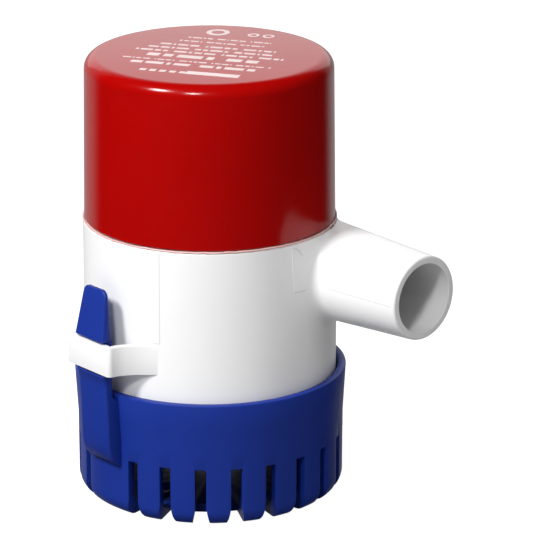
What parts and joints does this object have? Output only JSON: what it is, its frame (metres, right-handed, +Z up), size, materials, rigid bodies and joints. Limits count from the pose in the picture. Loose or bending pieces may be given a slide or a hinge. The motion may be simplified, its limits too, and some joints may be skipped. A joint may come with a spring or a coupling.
{
  "type": "bilge pump",
  "caption": "Submersible round pump with a capped motor, a side hose spigot and a slotted strainer base that snaps off for cleaning.",
  "frame": {"origin": "centre of the strainer base's flat underside, on the pump's axis", "axes": "+Z up along the motor's axis, +X the way the hose spigot points, the snap tabs near -Y and +Y"},
  "size_m": [0.0842, 0.0712, 0.102],
  "materials": {
    "red_cap_plastic": "glossy moulded red plastic with a darker clear depth",
    "white_housing_plastic": "semi-gloss white moulded plastic",
    "blue_strainer_plastic": "satin royal blue moulded plastic",
    "black_plastic": "black glass-filled plastic",
    "black_rubber": "moulded nitrile rubber",
    "plated_steel": "zinc-plated pressed steel",
    "ground_steel": "ground stainless steel",
    "lamination_steel": "stacked steel laminations with a dull edge",
    "ferrite": "sintered dark grey ferrite",
    "copper": "enamelled or bare copper",
    "brass": "machined brass",
    "sintered_bronze": "porous oil-filled bronze",
    "carbon": "pressed graphite",
    "brown_insulation": "brown wire insulation",
    "black_insulation": "black wire insulation",
    "capacitor_coating": "dipped blue coating"
  },
  "bodies": {
    "strainer": {"strainer_base": "blue_strainer_plastic"},
    "tab_front": {"snap_tab_front": "blue_strainer_plastic"},
    "tab_back": {"snap_tab_back": "blue_strainer_plastic"},
    "pump": {"pump_body": "white_housing_plastic", "motor_cap": "red_cap_plastic", "motor_cup": "white_housing_plastic", "intake_plate": "black_plastic", "cup_seal_ring": "black_rubber", "shaft_seal": "black_rubber", "seal_retainer": "plated_steel", "cable_gland": "black_rubber", "motor_can": "plated_steel", "motor_end_bell": "black_plastic", "magnet_left": "ferrite", "magnet_right": "ferrite", "magnet_clip": "plated_steel", "bearing_lower": "sintered_bronze", "bearing_upper": "sintered_bronze", "brush_left": "carbon", "brush_right": "carbon", "brush_spring_left": "ground_steel", "brush_spring_right": "ground_steel", "terminal_positive": "brass", "terminal_negative": "brass", "capacitor": "capacitor_coating", "lead_wire_brown": "brown_insulation", "lead_wire_black": "black_insulation"},
    "rotor": {"shaft": "ground_steel", "armature_core": "lamination_steel", "armature_winding": "copper", "commutator": "copper", "impeller": "black_plastic", "impeller_insert": "brass", "thrust_washer_lower": "black_plastic", "thrust_washer_upper": "black_plastic"}
  },
  "joints": [
    {"name": "tab_front_squeeze", "type": "hinge", "parent": "strainer", "child": "tab_front", "pos_m": [-0.00231, -0.03297, 0.02945], "axis": [-0.9976, 0.0698, 0], "range_deg": [0, 6.8], "stiffness_Nm_per_rad": 1.5},
    {"name": "tab_back_squeeze", "type": "hinge", "parent": "strainer", "child": "tab_back", "pos_m": [0.00231, 0.03297, 0.02945], "axis": [0.9976, -0.0698, 0], "range_deg": [0, 6.8], "stiffness_Nm_per_rad": 1.5},
    {"name": "pump_lift", "type": "slide", "parent": "strainer", "child": "pump", "axis": [0, 0, 1], "range_m": [0, 0.055], "deforming": ["snap_tab_front", "snap_tab_back"]},
    {"name": "rotor_spin", "type": "hinge", "parent": "pump", "child": "rotor", "pos_m": [0, 0, 0.05], "axis": [0, 0, 1], "continuous": true}
  ]
}
